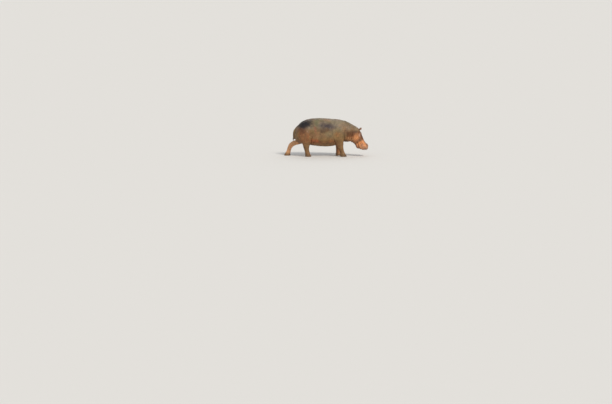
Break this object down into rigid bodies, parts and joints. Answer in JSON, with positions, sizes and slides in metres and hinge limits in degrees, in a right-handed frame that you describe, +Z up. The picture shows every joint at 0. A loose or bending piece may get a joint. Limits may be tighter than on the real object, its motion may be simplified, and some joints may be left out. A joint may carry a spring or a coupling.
{
  "type": "hippopotamus",
  "caption": "Life-size still model of a walking hippopotamus with lowered head, short legs and barrel body, standing on its soles.",
  "frame": {"origin": "on the floor under the middle of the overall box", "axes": "+Z up; the animal faces -Y, so its right side is at -X"},
  "size_m": [0.934, 3.1966, 1.4486],
  "materials": {
    "body_skin": "bare grey-brown hide with olive, purple-grey and pink areas, fine wrinkles, dull with a slight sheen",
    "face_skin": "bare pinkish orange-brown hide, wrinkled, dull with a slight sheen",
    "leg_skin": "bare tan-brown hide, darker round the feet, dull",
    "nail_horn": "dark grey-brown horn, worn and dull",
    "eye": "dark brown, wet and glossy"
  },
  "bodies": {
    "root": {"head": "face_skin", "lower_jaw": "face_skin", "ear_left": "face_skin", "ear_right": "face_skin", "trunk": "body_skin", "neck": "body_skin", "tail": "body_skin", "foreleg_right": "leg_skin", "foreleg_left": "leg_skin", "hindleg_right": "leg_skin", "hindleg_left": "leg_skin", "forefoot_right": "leg_skin", "forefoot_left": "leg_skin", "hindfoot_right": "leg_skin", "hindfoot_left": "leg_skin", "nail_fore_right_1": "nail_horn", "nail_fore_right_2": "nail_horn", "nail_fore_right_3": "nail_horn", "nail_fore_right_4": "nail_horn", "nail_fore_left_1": "nail_horn", "nail_fore_left_2": "nail_horn", "nail_fore_left_3": "nail_horn", "nail_fore_left_4": "nail_horn", "nail_hind_right_1": "nail_horn", "nail_hind_right_2": "nail_horn", "nail_hind_right_3": "nail_horn", "nail_hind_right_4": "nail_horn", "nail_hind_left_1": "nail_horn", "nail_hind_left_2": "nail_horn", "nail_hind_left_3": "nail_horn", "nail_hind_left_4": "nail_horn", "eye_left": "eye", "eye_right": "eye"}
  },
  "joints": []
}
